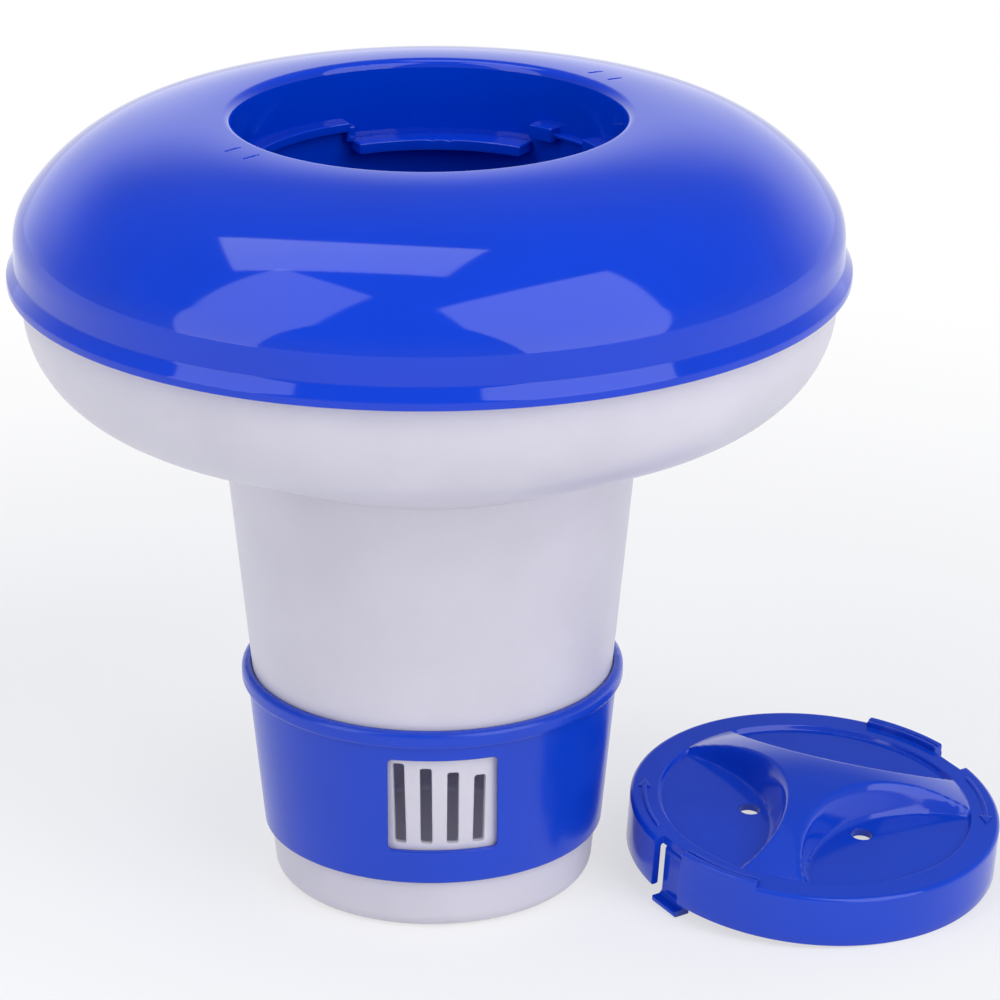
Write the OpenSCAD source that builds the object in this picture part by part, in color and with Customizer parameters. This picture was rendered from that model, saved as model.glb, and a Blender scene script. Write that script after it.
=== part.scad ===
// Floating chlorine dispenser: a sealed float with a slotted tablet canister below it,
// a flow ring that turns to cover the slots, and a twist-lock cap that lies beside the float.
// The origin is the centre of the canister's base, +Z is up and the object stands on its base.

/* [Canister] */
// Outer radius of the canister at its base
canister_base_r = 40; // [36:0.5:46]
// Growth of the canister's radius for each millimetre of height
canister_taper = 0.0955; // [0.05:0.0005:0.11]
// Height from the base to the neck where the hull begins
neck_z = 116; // [90:1:140]
// Wall thickness of the canister
canister_wall = 1.8; // [1.2:0.1:2.4]
// Rounding of the canister's bottom edge
base_round = 4; // [2.6:0.2:8]
// Width and thickness of the flange that hangs the canister in the hull
canister_flange = [5.4, 2]; // [1:0.1:8]

/* [Hull] */
// Slope of the hull's lower cone above the horizontal
hull_slope = 24; // [15:0.5:40]
// Radius of the hull's belly arc
belly_r = 25.5; // [15:0.5:32]
// Height of the straight side between the belly and the rim
hull_side_h = 5.2; // [3:0.1:15]
// Wall thickness of the hull
hull_wall = 2; // [1.4:0.1:3]
// Height of the thick neck ring that the canister hangs in
neck_ring_h = 5; // [4:0.1:8]

/* [Dome] */
// Diameter across the rim flange of the float
float_d = 205; // [180:1:240]
// Wall thickness of the dome and its well
dome_wall = 2; // [1.4:0.1:3]
// Inner radius of the well that takes the cap
well_r = 47.4; // [44:0.1:49]
// Rounding from the well into the crown
well_round = 2.2; // [1.5:0.1:4]
// Angle that the crown arc turns through
crown_angle = 16.4; // [12:0.1:22]
// Radius of the shoulder arc
shoulder_r = 45.3; // [30:0.1:55]
// Angle at which the shoulder arc gives way to the side arc
shoulder_angle = 55.6; // [45:0.1:65]
// Radius of the side arc
side_r = 14; // [8:0.1:20]
// Height of the straight side above the rim flange
dome_side_h = 4.9; // [1:0.1:15]

/* [Rim joint] */
// How far the rim flange stands out beyond the dome's side
flange_proud = 1.9; // [1:0.1:4]
// Height of the flange's upright edge
flange_edge_h = 2; // [1:0.1:4]
// Height of the flange's sloped top
flange_slope_h = 3; // [1:0.1:5]
// Distance from the flange's edge to the hull's outer side
hull_inset = 3.5; // [2.5:0.1:6]
// Depth of the groove that takes the hull's edge
rim_groove_h = 4; // [3:0.1:4.4]
// Height of the seal in the groove
rim_seal_h = 1.2; // [0.8:0.1:2]

/* [Well seal] */
// Length of the canister's collar above its flange
collar_h = 9.5; // [7:0.1:14]
// Wall thickness of the collar
collar_wall = 4.2; // [3.6:0.1:6]
// Section of the seal between the well tube and the collar: width and height
well_seal_size = [2.3, 3]; // [1:0.1:4]

/* [Bayonet] */
// Depth of the cap's seat below the crest of the well
seat_depth = 13.7; // [12:0.1:18]
// How far the retaining ledge stands out of the well's wall
ledge_proud = 2.8; // [2:0.1:4]
// Thickness of the retaining ledge
ledge_h = 2.4; // [1.5:0.1:3]
// First angle of the retaining ledge
ledge_start = 116; // [110:1:120]
// Angle that the retaining ledge covers
ledge_span = 87; // [60:1:88]
// How far the ledge's end block and the catch block stand out
block_proud = 3.2; // [2.5:0.1:4]
// How far the two blocks rise above the ledge
block_rise = 0.4; // [0.2:0.1:1]
// Angle that the ledge's end block covers
end_block_span = 9; // [5:1:9]
// First angle of the catch block and the angle that it covers
catch_block = [227, 9]; // [1:1:360]
// How far the web over the catch pocket stands out
web_proud = 1.6; // [1:0.1:2]
// How far the entry shelf stands out, and its thickness
shelf = [6.5, 2.8]; // [1:0.1:8]
// First angle of the entry shelf and the angle that it covers
shelf_arc = [57, 58]; // [1:1:360]
// Depth of the shelf's top below the cap's seat
shelf_depth = 5.1; // [4:0.1:8]
// Angle to the middle of a pair of alignment marks
mark_angle = 217; // [200:1:230]
// Angle between the two marks of a pair
mark_spread = 8; // [4:1:12]
// Length, width and depth of an alignment mark
mark_size = [4, 0.7, 0.5]; // [0.3:0.1:6]

/* [Flow ring] */
// Height of the ring's lower edge above the base
ring_z = 14; // [8:1:20]
// Height of the ring
ring_h = 42.3; // [38:0.1:56]
// Radial clearance between the ring and the canister
ring_gap = 0.3; // [0.2:0.05:0.5]
// Wall thickness of the ring
ring_wall = 1.2; // [0.8:0.1:2]
// How far the ring's lip stands out beyond its wall
lip_proud = 1.3; // [1:0.1:2]
// Height of the ring's lip
lip_h = 4.4; // [4:0.1:7]
// Height of the retaining bead, and how far it stands out of the canister
bead = [1.6, 0.8]; // [0.5:0.1:2]
// Largest angle that the ring turns through
ring_travel = 40; // [33:1:50]
// Angle that the ring's stop tooth covers
tooth_span = 6; // [4:1:10]
// Number of windows round the ring
window_count = 2; // [1:1:3]
// Direction of the first window when it is open
window_angle = 273; // [271:1:275]
// Width and height of a window
window_size = [26.8, 25.6]; // [15:0.1:28]
// Height of a window's lower edge above the ring's lower edge
window_lift = 8.8; // [3:0.1:9]
// Rounding of a window's corners
window_round = 1.2; // [0.6:0.1:4]

/* [Canister slots] */
// Number of slots behind each window
slot_count = 4; // [2:1:4]
// Direction of the middle of the first group of slots
slot_angle = 272; // [270:1:274]
// Width of a slot
slot_w = 2.9; // [1.5:0.1:3.4]
// Angle between neighbouring slots
slot_pitch = 8.7; // [6:0.1:9]
// Height of the slots' lower edge above the window's lower edge
slot_lift = 1.6; // [0.5:0.1:3]
// Height of the tallest slot
slot_h = 22.4; // [12:0.1:23]
// How much shorter each slot is than the one before
slot_step = 1.2; // [0:0.1:2]

/* [Cap] */
// Radial clearance between the cap and the well
cap_gap = 0.4; // [0.3:0.05:0.8]
// Height of the cap's skirt
skirt_h = 13.5; // [11:0.1:16]
// Wall thickness of the cap
cap_wall = 2; // [1.5:0.1:2.4]
// Width of the flat band round the cap's top
band_w = 7.2; // [5:0.1:8]
// Depth of the scoop floors below the band
scoop_drop = 1.2; // [0.5:0.1:1.4]
// Height of the cap's crown above the band
crown_h = 8.5; // [6:0.1:12]
// Number of scoops, and of the arms between them
scoop_count = 3; // [3:1:4]
// Direction of the first scoop
scoop_angle = 70; // [60:1:80]
// Distance from the cap's axis to the inner end of a scoop's floor
scoop_reach = 12.4; // [11:0.1:15]
// Radius of a scoop's back wall at its floor
scoop_r = 36.5; // [30:0.5:40]
// How much a scoop's back wall leans back over the crown's height
scoop_lean = 3; // [0:0.1:4]
// Diameter of the vent holes
vent_d = 5.5; // [3:0.1:6]
// Distance from the cap's axis to a vent hole
vent_reach = 17; // [16:0.1:20]
// Angle, height and depth of the pad beside each latch
pad = [27, 1.5, 3]; // [1:0.1:30]
// Width and depth of the fine line in the pad's top
pad_line = [0.5, 0.6]; // [0.3:0.1:1]

/* [Latches] */
// Direction of the front latch
latch_angle = 214; // [210:1:218]
// Width and thickness of a latch finger
finger = [9.2, 1.8]; // [1:0.1:12]
// Clearance beside a latch finger in its notch
finger_gap = 0.7; // [0.4:0.1:1]
// How far the finger stands back from the skirt's face
finger_inset = 3.4; // [3:0.1:4]
// Depth of the latch foot below the skirt, and its thickness
foot = [4.6, 1.8]; // [1:0.1:6]
// Radius of the knuckle that a finger turns on
knuckle_r = 1.2; // [1:0.1:1.5]

/* [Cap beside the float] */
// Distance from the float's axis to the cap's centre, towards the right
cap_x = 96; // [94:1:110]
// Distance from the float's axis to the cap's centre, towards the back
cap_y = -6; // [-12:1:6]

/* [Hidden] */
$fn = 96;

seat_gap = 0.1;            // clearance between pieces fixed in one another
joint_lap = 0.5;           // how far fused features sink into their wall
half_turn = 180;
full_turn = 360;
far = 400;                 // longer than any size of the object
crown_steps = 8;           // straight steps along each of the dome's three arcs
shoulder_steps = 16;
side_steps = 10;
end_block_hang = 0.8;      // how far the ledge's end block hangs below the ledge
catch_hang = 1;            // how far the catch block hangs below the ledge
web_h = 1;                 // thickness of the web over the catch pocket
stop_inset = 0.4;          // how far the stop stands back from the ledge's inner edge
shelf_notch_spread = 3;    // angle from the shelf's middle to each of its two notches
shelf_notch_size = [1, 1, 1.2];
mark_inset = 3;            // distance from the well's crest to an alignment mark
mark_sag = 0.2;            // how far the crown falls away along an alignment mark
dome_blue = [0.08, 0.2, 0.78];
ring_blue = [0.12, 0.28, 0.88];
shell_white = [0.84, 0.83, 0.9];
seal_grey = [0.16, 0.16, 0.18];

// Outer radius of the canister at height z, and the length factor along its slanted wall
function canister_r(z) = canister_base_r + canister_taper * z;
slant = sqrt(1 + canister_taper * canister_taper);

// Hull
neck_r = canister_r(neck_z);
hull_r = float_d / 2 - hull_inset;
hull_cone_rise = (hull_r - belly_r * (1 - sin(hull_slope)) - neck_r) * tan(hull_slope);
belly_c = [hull_r - belly_r, neck_z + hull_cone_rise + belly_r * cos(hull_slope)];
rim_z = belly_c[1] + hull_side_h;
flange_seat_z = neck_z + neck_ring_h;
flange_seat_r = canister_r(flange_seat_z) + canister_flange[0];

// Dome, as three arcs that run into each other
dome_r = float_d / 2 - flange_proud;
crest_r = well_r + well_round;
flange_top_z = rim_z + flange_edge_h + flange_slope_h;
shoulder_run = shoulder_r * (sin(shoulder_angle) - sin(crown_angle));
crown_r = (dome_r - crest_r - shoulder_run - side_r * (1 - sin(shoulder_angle))) / sin(crown_angle);
side_c = [dome_r - side_r, flange_top_z + dome_side_h];
shoulder_c = side_c - (shoulder_r - side_r) * [sin(shoulder_angle), cos(shoulder_angle)];
crown_c = shoulder_c - (crown_r - shoulder_r) * [sin(crown_angle), cos(crown_angle)];
dome_top_z = crown_c[1] + crown_r;

// Rim joint
groove_out_r = hull_r + seat_gap;
groove_in_r = hull_r - hull_wall - seat_gap;
tongue_z = rim_z + rim_groove_h - rim_seal_h;

// Well tube and its seal
tube_r = well_r + dome_wall;
collar_r = tube_r + seat_gap * 3;
collar_z = flange_seat_z + canister_flange[1];
collar_top_z = collar_z + collar_h;
tube_z = flange_seat_z - 1;
shoulder_w = collar_wall;

// Bayonet, two-fold about the axis
seat_z = dome_top_z - seat_depth;
pocket_start = ledge_start + ledge_span + end_block_span;
shelf_z = seat_z - shelf_depth;
mark_mid_r = crest_r + mark_inset + mark_size[0] / 2;

// Flow ring
ring_top_z = ring_z + ring_h;
bead_z = ring_top_z - lip_h / 2;
bead_gap_span = ring_travel + tooth_span + 1;
bead_gap_angle = 90;
window_z = ring_z + window_lift;
window_step = full_turn / window_count;
slot_z = window_z + slot_lift;

// Cap, in its own frame: the skirt's lower edge lies at z = 0
cap_r = well_r - cap_gap;
band_r = cap_r - band_w;
floor_z = skirt_h - scoop_drop;
crown_sphere_r = (band_r * band_r + crown_h * crown_h) / (2 * crown_h);
scoop_step = full_turn / scoop_count;
edge_round = 1.2;
band_under_z = skirt_h - cap_wall - 0.2;
scoop_sink = cap_wall + 0.99;   // how far the hollow's scoops start below the scoop floors
finger_face_r = cap_r - finger_inset;
finger_mid_r = finger_face_r - finger[1] / 2;
knuckle_z = band_under_z - seat_gap - knuckle_r;
notch_w = finger[0] + 2 * finger_gap;
notch_half_angle = asin(notch_w / 2 / cap_r);
cap_tilt = atan(foot[0] / (cap_r - finger[0] / 2));
cap_lift = cap_r * sin(cap_tilt);

// A block that follows the axis round, from angle a0 over a_span
module arc_block(r_in, r_out, z_low, z_high, a0, a_span) {
    rotate([0, 0, a0])
        rotate_extrude(angle = a_span)
            translate([r_in, z_low]) square([r_out - r_in, z_high - z_low]);
}

// Points along an arc from angle a0 to a1, without the first point
function arc_points(centre, radius, a0, a1, steps) =
    [for (i = [1 : steps]) centre + radius * [cos(a0 + (a1 - a0) * i / steps), sin(a0 + (a1 - a0) * i / steps)]];

// A bar in section whose two outer corners are round
module round_bar(r_in, r_out, z_low, z_high, corner) {
    translate([r_in, z_low]) square([r_out - r_in - corner, z_high - z_low]);
    translate([r_in, z_low + corner]) square([r_out - r_in, z_high - z_low - 2 * corner]);
    translate([r_out - corner, z_low + corner]) circle(corner);
    translate([r_out - corner, z_high - corner]) circle(corner);
}

// A rectangle with round corners, centred across and standing on its lower edge
module round_rect(w, h, corner) {
    translate([-w / 2 + corner, 0]) square([w - 2 * corner, h]);
    translate([-w / 2, corner]) square([w, h - 2 * corner]);
    for (x = [-w / 2 + corner, w / 2 - corner], y = [corner, h - corner])
        translate([x, y]) circle(corner);
}

// Everything under the dome's outline, drawn in by inset
module dome_section(inset) {
    polygon(concat(
        [[crest_r, rim_z], [crest_r, dome_top_z - inset]],
        arc_points(crown_c, crown_r - inset, 90, 90 - crown_angle, crown_steps),
        arc_points(shoulder_c, shoulder_r - inset, 90 - crown_angle, 90 - shoulder_angle, shoulder_steps),
        arc_points(side_c, side_r - inset, 90 - shoulder_angle, 0, side_steps),
        [[dome_r - inset, rim_z]]));
}

module rim_flange_section() {
    polygon([[groove_in_r - dome_wall, rim_z],
             [float_d / 2, rim_z],
             [float_d / 2, rim_z + flange_edge_h],
             [dome_r, flange_top_z],
             [dome_r - dome_wall, flange_top_z + 0.5],
             [groove_in_r - dome_wall, flange_top_z + 0.5]]);
}

module well_section() {
    translate([crest_r, dome_top_z - well_round]) circle(well_round);
    translate([well_r, tube_z]) square([dome_wall, dome_top_z - well_round - tube_z]);
    translate([well_r + joint_lap, collar_top_z]) square([dome_wall + shoulder_w, dome_wall * 0.8]);
}

module bayonet_half() {
    wall_r = well_r + joint_lap;
    ledge_z = seat_z - block_rise - ledge_h;
    arc_block(well_r - ledge_proud, wall_r, ledge_z, ledge_z + ledge_h, ledge_start, ledge_span + 1);
    arc_block(well_r - block_proud, wall_r, ledge_z - end_block_hang, seat_z,
              ledge_start + ledge_span, end_block_span);
    arc_block(well_r - web_proud, wall_r, ledge_z, ledge_z + web_h,
              pocket_start - 1, catch_block[0] - pocket_start + 2);
    arc_block(well_r - block_proud, wall_r, ledge_z - catch_hang, seat_z, catch_block[0], catch_block[1]);
    arc_block(well_r - ledge_proud + stop_inset, wall_r, shelf_z - joint_lap, ledge_z + ledge_h / 2,
              ledge_start - 2, 3);
    difference() {
        arc_block(well_r - shelf[0], wall_r, shelf_z - shelf[1], shelf_z, shelf_arc[0], shelf_arc[1]);
        for (side = [-shelf_notch_spread, shelf_notch_spread])
            rotate([0, 0, shelf_arc[0] + shelf_arc[1] / 2 + side])
                translate([well_r - shelf[0], 0, shelf_z])
                    rotate([0, 0, 45]) cube(shelf_notch_size, center = true);
    }
}

module mark_pair() {
    rotate([0, 0, mark_angle])
        for (side = [-1, 1])
            translate([cos(mark_spread / 2) * (crest_r + mark_inset), side * sin(mark_spread / 2) * mark_mid_r,
                       dome_top_z - mark_size[2] - mark_sag])
                translate([0, -mark_size[1] / 2, 0]) cube([mark_size[0], mark_size[1], well_round * 2]);
}

module float_dome() {
    color(dome_blue)
        difference() {
            union() {
                rotate_extrude()
                    difference() {
                        union() {
                            difference() {
                                dome_section(0);
                                dome_section(dome_wall);
                            }
                            rim_flange_section();
                            well_section();
                        }
                        translate([groove_in_r, rim_z - 1])
                            square([groove_out_r - groove_in_r, rim_groove_h + 1]);
                    }
                for (turn = [0, half_turn])
                    rotate([0, 0, turn]) bayonet_half();
            }
            for (turn = [0, half_turn])
                rotate([0, 0, turn]) mark_pair();
        }
}

// Everything inside the hull's outline, drawn in by inset
module hull_section(inset) {
    arc_end = belly_c + (belly_r - inset) * [sin(hull_slope), -cos(hull_slope)];
    neck_run = (arc_end[0] - neck_r) / cos(hull_slope);
    intersection() {
        union() {
            translate(belly_c) circle(belly_r - inset);
            polygon([belly_c, [hull_r - inset, belly_c[1]], [hull_r - inset, tongue_z],
                     [neck_r, tongue_z], arc_end - neck_run * [cos(hull_slope), sin(hull_slope)], arc_end]);
        }
        translate([neck_r, 0]) square([far, tongue_z]);
    }
}

module float_hull() {
    color(shell_white)
        rotate_extrude()
            difference() {
                union() {
                    difference() {
                        hull_section(0);
                        hull_section(hull_wall);
                    }
                    intersection() {
                        hull_section(0);
                        square([flange_seat_r + 1, flange_seat_z]);
                    }
                }
                polygon([[0, 0], [canister_r(0) + seat_gap, 0],
                         [canister_r(flange_seat_z + 1) + seat_gap, flange_seat_z + 1], [0, flange_seat_z + 1]]);
            }
}

// Everything inside the canister's outline up to z_top, drawn in by inset
module canister_section(inset, z_top) {
    corner_c = [canister_base_r + canister_taper * base_round - base_round * slant, base_round];
    corner_r = base_round - inset;
    tangent = corner_c + corner_r * [1, -canister_taper] / slant;
    translate(corner_c) circle(corner_r);
    polygon([[0, inset], [corner_c[0], inset], corner_c, tangent,
             [canister_r(z_top) - inset * slant, z_top], [0, z_top]]);
}

module slot_group() {
    for (i = [0 : slot_count - 1]) {
        height = slot_h - i * slot_step;
        rotate([0, 0, (i - (slot_count - 1) / 2) * slot_pitch])
            translate([canister_base_r - base_round, 0, slot_z])
                rotate([90, 0, 90])
                    linear_extrude(height = canister_base_r / 2)
                        round_rect(slot_w, height, slot_w / 4);
    }
}

module canister() {
    color(shell_white)
        difference() {
            union() {
                rotate_extrude()
                    difference() {
                        union() {
                            canister_section(0, flange_seat_z + 1);
                            translate([collar_r, flange_seat_z])
                                square([flange_seat_r - collar_r, collar_z - flange_seat_z]);
                            translate([collar_r, flange_seat_z]) square([collar_wall, collar_top_z - flange_seat_z]);
                        }
                        canister_section(canister_wall, flange_seat_z + 2);
                        translate([0, flange_seat_z]) square([collar_r, far]);
                        translate([0, collar_top_z - well_seal_size[1]])
                            square([tube_r + well_seal_size[0] + seat_gap, well_seal_size[1] + 1]);
                    }
                arc_block(canister_r(bead_z) - joint_lap, canister_r(bead_z) + bead[1],
                          bead_z - bead[0] / 2, bead_z + bead[0] / 2,
                          bead_gap_angle + bead_gap_span / 2, full_turn - bead_gap_span);
            }
            for (i = [0 : window_count - 1])
                rotate([0, 0, slot_angle + i * window_step]) slot_group();
        }
}

module window_cutter() {
    translate([canister_base_r / 2, 0, window_z])
        rotate([90, 0, 90])
            linear_extrude(height = canister_base_r)
                round_rect(window_size[0], window_size[1], window_round);
}

module flow_ring() {
    lip_z = ring_top_z - lip_h;
    groove_half_h = bead[0] / 2 + ring_gap;
    tooth_a0 = bead_gap_angle - bead_gap_span / 2 + 0.5;
    color(ring_blue)
        difference() {
            rotate_extrude()
                difference() {
                    union() {
                        polygon([[canister_r(ring_z), ring_z],
                                 [canister_r(ring_z) + ring_gap + ring_wall, ring_z],
                                 [canister_r(ring_top_z - 1) + ring_gap + ring_wall, ring_top_z - 1],
                                 [canister_r(ring_top_z - 1), ring_top_z - 1]]);
                        round_bar(canister_r(lip_z), canister_r(bead_z) + ring_gap + ring_wall + lip_proud,
                                  lip_z, ring_top_z, lip_proud);
                    }
                    polygon([[0, 0], [canister_r(0) + ring_gap, 0],
                             [canister_r(ring_top_z + 1) + ring_gap, ring_top_z + 1], [0, ring_top_z + 1]]);
                }
            arc_block(canister_r(bead_z) - 1, canister_r(bead_z) + bead[1] + ring_gap,
                      bead_z - groove_half_h, bead_z + groove_half_h,
                      tooth_a0 + tooth_span, full_turn - tooth_span);
            for (i = [0 : window_count - 1])
                rotate([0, 0, window_angle + i * window_step]) window_cutter();
        }
}

// Sets a piece of the cap down beside the float, on its latch feet and the skirt's edge
module beside_float() {
    translate([cap_x, cap_y, cap_lift])
        rotate([0, 0, latch_angle - half_turn])
            rotate([cap_tilt, 0, 0])
                rotate([0, 0, half_turn - latch_angle])
                    children();
}

module cap_plate_section() {
    inner_r = cap_r - cap_wall;
    polygon([[0, floor_z - cap_wall], [band_r - cap_wall, floor_z - cap_wall],
             [band_r, band_under_z], [inner_r, band_under_z], [inner_r, 0], [cap_r, 0],
             [cap_r, skirt_h - edge_round], [cap_r - edge_round, skirt_h - edge_round],
             [cap_r - edge_round, skirt_h], [band_r, skirt_h], [band_r - scoop_drop / 2, floor_z], [0, floor_z]]);
    translate([cap_r - edge_round, skirt_h - edge_round]) circle(edge_round);
}

// The scoops' cutting shapes; grow leaves room for a wall behind each one
module scoops(grow) {
    for (i = [0 : scoop_count - 1])
        rotate([0, 0, scoop_angle + i * scoop_step])
            translate([scoop_reach + scoop_r, 0, floor_z])
                cylinder(h = crown_h * 2, r1 = scoop_r + grow, r2 = scoop_r + grow + 2 * scoop_lean);
}

// The low sphere of the crown, above z_low and drawn in by inset
module crown(inset, radius, z_low) {
    intersection() {
        translate([0, 0, skirt_h + crown_h - crown_sphere_r]) sphere(crown_sphere_r - inset, $fn = 200);
        translate([0, 0, z_low]) cylinder(h = far, r = radius);
    }
}

module cap_latch_seat() {
    seat_r = finger_face_r - finger[1] - joint_lap;
    translate([seat_r - knuckle_r, -notch_w / 2, knuckle_z - knuckle_r])
        cube([knuckle_r, notch_w, knuckle_r * 2 + joint_lap]);
}

module latch_pad() {
    difference() {
        arc_block(cap_r - pad[2], cap_r, skirt_h - edge_round, skirt_h + pad[1], notch_half_angle, pad[0]);
        arc_block(cap_r - pad[2] * 0.7, cap_r - pad[2] * 0.7 + pad_line[0],
                  skirt_h + pad[1] - pad_line[1], skirt_h + pad[1] + 1, notch_half_angle - 1, pad[0] - 1);
    }
}

// A raised arrow that shows the way to turn the cap
module turn_arrow() {
    arrow_r = cap_r - band_w / 2;
    arrow_w = 1;
    arrow_span = 26;
    arrow_h = 0.35;
    arrow_top = skirt_h + arrow_h;
    arc_block(arrow_r - arrow_w / 2, arrow_r + arrow_w / 2, skirt_h - joint_lap, arrow_top, 0, -arrow_span);
    rotate([0, 0, -arrow_span])
        translate([arrow_r, 0, skirt_h - joint_lap])
            linear_extrude(height = arrow_top - skirt_h + joint_lap)
                polygon([[-arrow_w * 1.6, 0.1], [arrow_w * 1.6, 0.1], [0, -arrow_w * 3.4]]);
}

module cap() {
    color(dome_blue)
        beside_float()
            difference() {
                union() {
                    rotate_extrude() cap_plate_section();
                    difference() {
                        crown(0, band_r, floor_z - 1);
                        scoops(0);
                    }
                    for (turn = [0, half_turn])
                        rotate([0, 0, latch_angle + turn]) {
                            cap_latch_seat();
                            latch_pad();
                        }
                    for (turn = [0, half_turn])
                        rotate([0, 0, latch_angle + turn - 2 * notch_half_angle]) turn_arrow();
                }
                difference() {
                    crown(cap_wall, band_r - cap_wall, floor_z - cap_wall - 1);
                    translate([0, 0, -scoop_sink]) scoops(cap_wall);
                }
                for (i = [0 : scoop_count - 1])
                    rotate([0, 0, scoop_angle + i * scoop_step])
                        translate([vent_reach, 0, 0]) cylinder(h = skirt_h + crown_h, d = vent_d);
                for (turn = [0, half_turn])
                    rotate([0, 0, latch_angle + turn])
                        translate([finger_face_r + 0.3, -notch_w / 2, -1]) cube([far, notch_w, skirt_h + 6]);
            }
}

// A latch finger at the cap's angle 0
module latch_finger() {
    inner_r = finger_face_r - finger[1];
    toe_r = cap_r - 0.2;
    translate([finger_mid_r, finger[0] / 2, knuckle_z])
        rotate([90, 0, 0]) cylinder(h = finger[0], r = knuckle_r);
    translate([0, finger[0] / 2, 0])
        rotate([90, 0, 0])
            linear_extrude(height = finger[0])
                polygon([[inner_r, knuckle_z], [inner_r, -foot[0]], [toe_r - 0.8, -foot[0]],
                         [toe_r, -foot[0] + 0.8], [toe_r, -foot[0] + foot[1]],
                         [finger_face_r + 0.8, -foot[0] + foot[1]], [finger_face_r, -foot[0] + foot[1] + 0.8],
                         [finger_face_r, knuckle_z]]);
}

module latch_front() {
    color(dome_blue) beside_float() rotate([0, 0, latch_angle]) latch_finger();
}

module latch_back() {
    color(dome_blue) beside_float() rotate([0, 0, latch_angle + half_turn]) latch_finger();
}

module rim_seal() {
    color(seal_grey)
        rotate_extrude()
            translate([hull_r - hull_wall, tongue_z]) square([hull_wall, rim_seal_h]);
}

module well_seal() {
    color(seal_grey)
        rotate_extrude()
            translate([tube_r, collar_top_z - well_seal_size[1]]) square(well_seal_size);
}

float_dome();
float_hull();
canister();
flow_ring();
cap();
latch_front();
latch_back();
rim_seal();
well_seal();
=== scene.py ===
from math import atan, cos, hypot, pi, radians, sin, sqrt

import bmesh
import bpy
from bpy.props import FloatProperty, FloatVectorProperty, IntProperty, PointerProperty
from mathutils import Matrix, Vector


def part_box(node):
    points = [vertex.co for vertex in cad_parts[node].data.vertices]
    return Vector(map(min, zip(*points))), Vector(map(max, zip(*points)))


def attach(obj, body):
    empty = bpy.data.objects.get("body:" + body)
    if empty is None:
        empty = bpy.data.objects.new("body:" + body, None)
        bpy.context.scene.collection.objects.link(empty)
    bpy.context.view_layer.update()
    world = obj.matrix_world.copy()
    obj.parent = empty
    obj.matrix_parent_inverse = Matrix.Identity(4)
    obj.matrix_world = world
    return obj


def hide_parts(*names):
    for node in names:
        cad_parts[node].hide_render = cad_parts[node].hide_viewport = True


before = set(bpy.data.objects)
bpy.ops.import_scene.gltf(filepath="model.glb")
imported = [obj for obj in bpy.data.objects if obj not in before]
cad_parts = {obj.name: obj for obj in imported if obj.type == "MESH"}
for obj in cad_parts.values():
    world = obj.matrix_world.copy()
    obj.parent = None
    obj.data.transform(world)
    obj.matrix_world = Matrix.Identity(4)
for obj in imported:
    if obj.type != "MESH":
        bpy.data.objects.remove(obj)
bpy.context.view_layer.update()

bl_info = {
    "name": "Floating Chlorine Dispenser",
    "version": (1, 0, 0),
    "blender": (4, 5, 0),
    "location": "View3D > Sidebar > Dispenser",
    "description": "Finishes a floating chlorine dispenser around its frame",
    "category": "Object",
}

# Sizes are in millimetres and angles in degrees; the frame is in metres.
MM = 0.001
WELD = 1e-7
SHARP_ANGLE = 32

DOME_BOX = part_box("float_dome")
HULL_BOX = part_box("float_hull")

# The float's upper shell
WALL = 2.0
FLOAT_R = DOME_BOX[1][0] / MM
CREST_Z = DOME_BOX[1][2] / MM
TUBE_Z = DOME_BOX[0][2] / MM
RIM_Z = HULL_BOX[1][2] / MM - 2.8
FLANGE_PROUD = 1.9
FLANGE_EDGE_H = 2.0
FLANGE_SLOPE_H = 3.0
DOME_R = FLOAT_R - FLANGE_PROUD
FLANGE_TOP_Z = RIM_Z + FLANGE_EDGE_H + FLANGE_SLOPE_H
SIDE_H = 4.9
WELL_R = 47.4
WELL_ROUND = 2.2
CREST_R = WELL_R + WELL_ROUND
CROWN_ANGLE = 16.4
SHOULDER_ANGLE = 55.6
SHOULDER_R = 45.3
SIDE_R = 14.0
GROOVE = (96.9, 99.1, 4.0)
COLLAR_RING = (54.1, TUBE_Z + 12.5, 1.6)

# The bayonet in the well, two-fold about the axis
SEAT_Z = CREST_Z - 13.7
LEDGE_TOP_Z = SEAT_Z - 0.4
LEDGE_Z = LEDGE_TOP_Z - 2.4
SHELF_Z = SEAT_Z - 5.1
SHELF_H = 2.8
SHELF_PROUD = 6.5
SHELF_ARC = (57, 58)
SHELF_NOTCHES = (83, 89)
# How far fused features sink into their wall
SUNK = 0.5
# Each bar: how far it stands out, its lower and upper height, its first angle and the angle it covers
BAYONET_BARS = {
    "ledge": (2.8, LEDGE_Z, LEDGE_TOP_Z, 116, 88),
    "end block": (3.2, LEDGE_Z - 0.8, SEAT_Z, 203, 9),
    "web": (1.6, LEDGE_Z, LEDGE_Z + 1, 211, 17),
    "catch block": (3.2, LEDGE_Z - 1, SEAT_Z, 227, 9),
    "stop": (2.4, SHELF_Z - SUNK, LEDGE_Z + 1.2, 114, 3),
}

# The alignment marks beside the well
MARK_ANGLE = 217
MARK_SPREAD = 4
MARK_LENGTH = 4.0
MARK_WIDTH = 0.7
MARK_FLOOR_Z = CREST_Z - 0.7
MARK_SOFT = 0.12
MARK_INSET = 3.0

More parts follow.
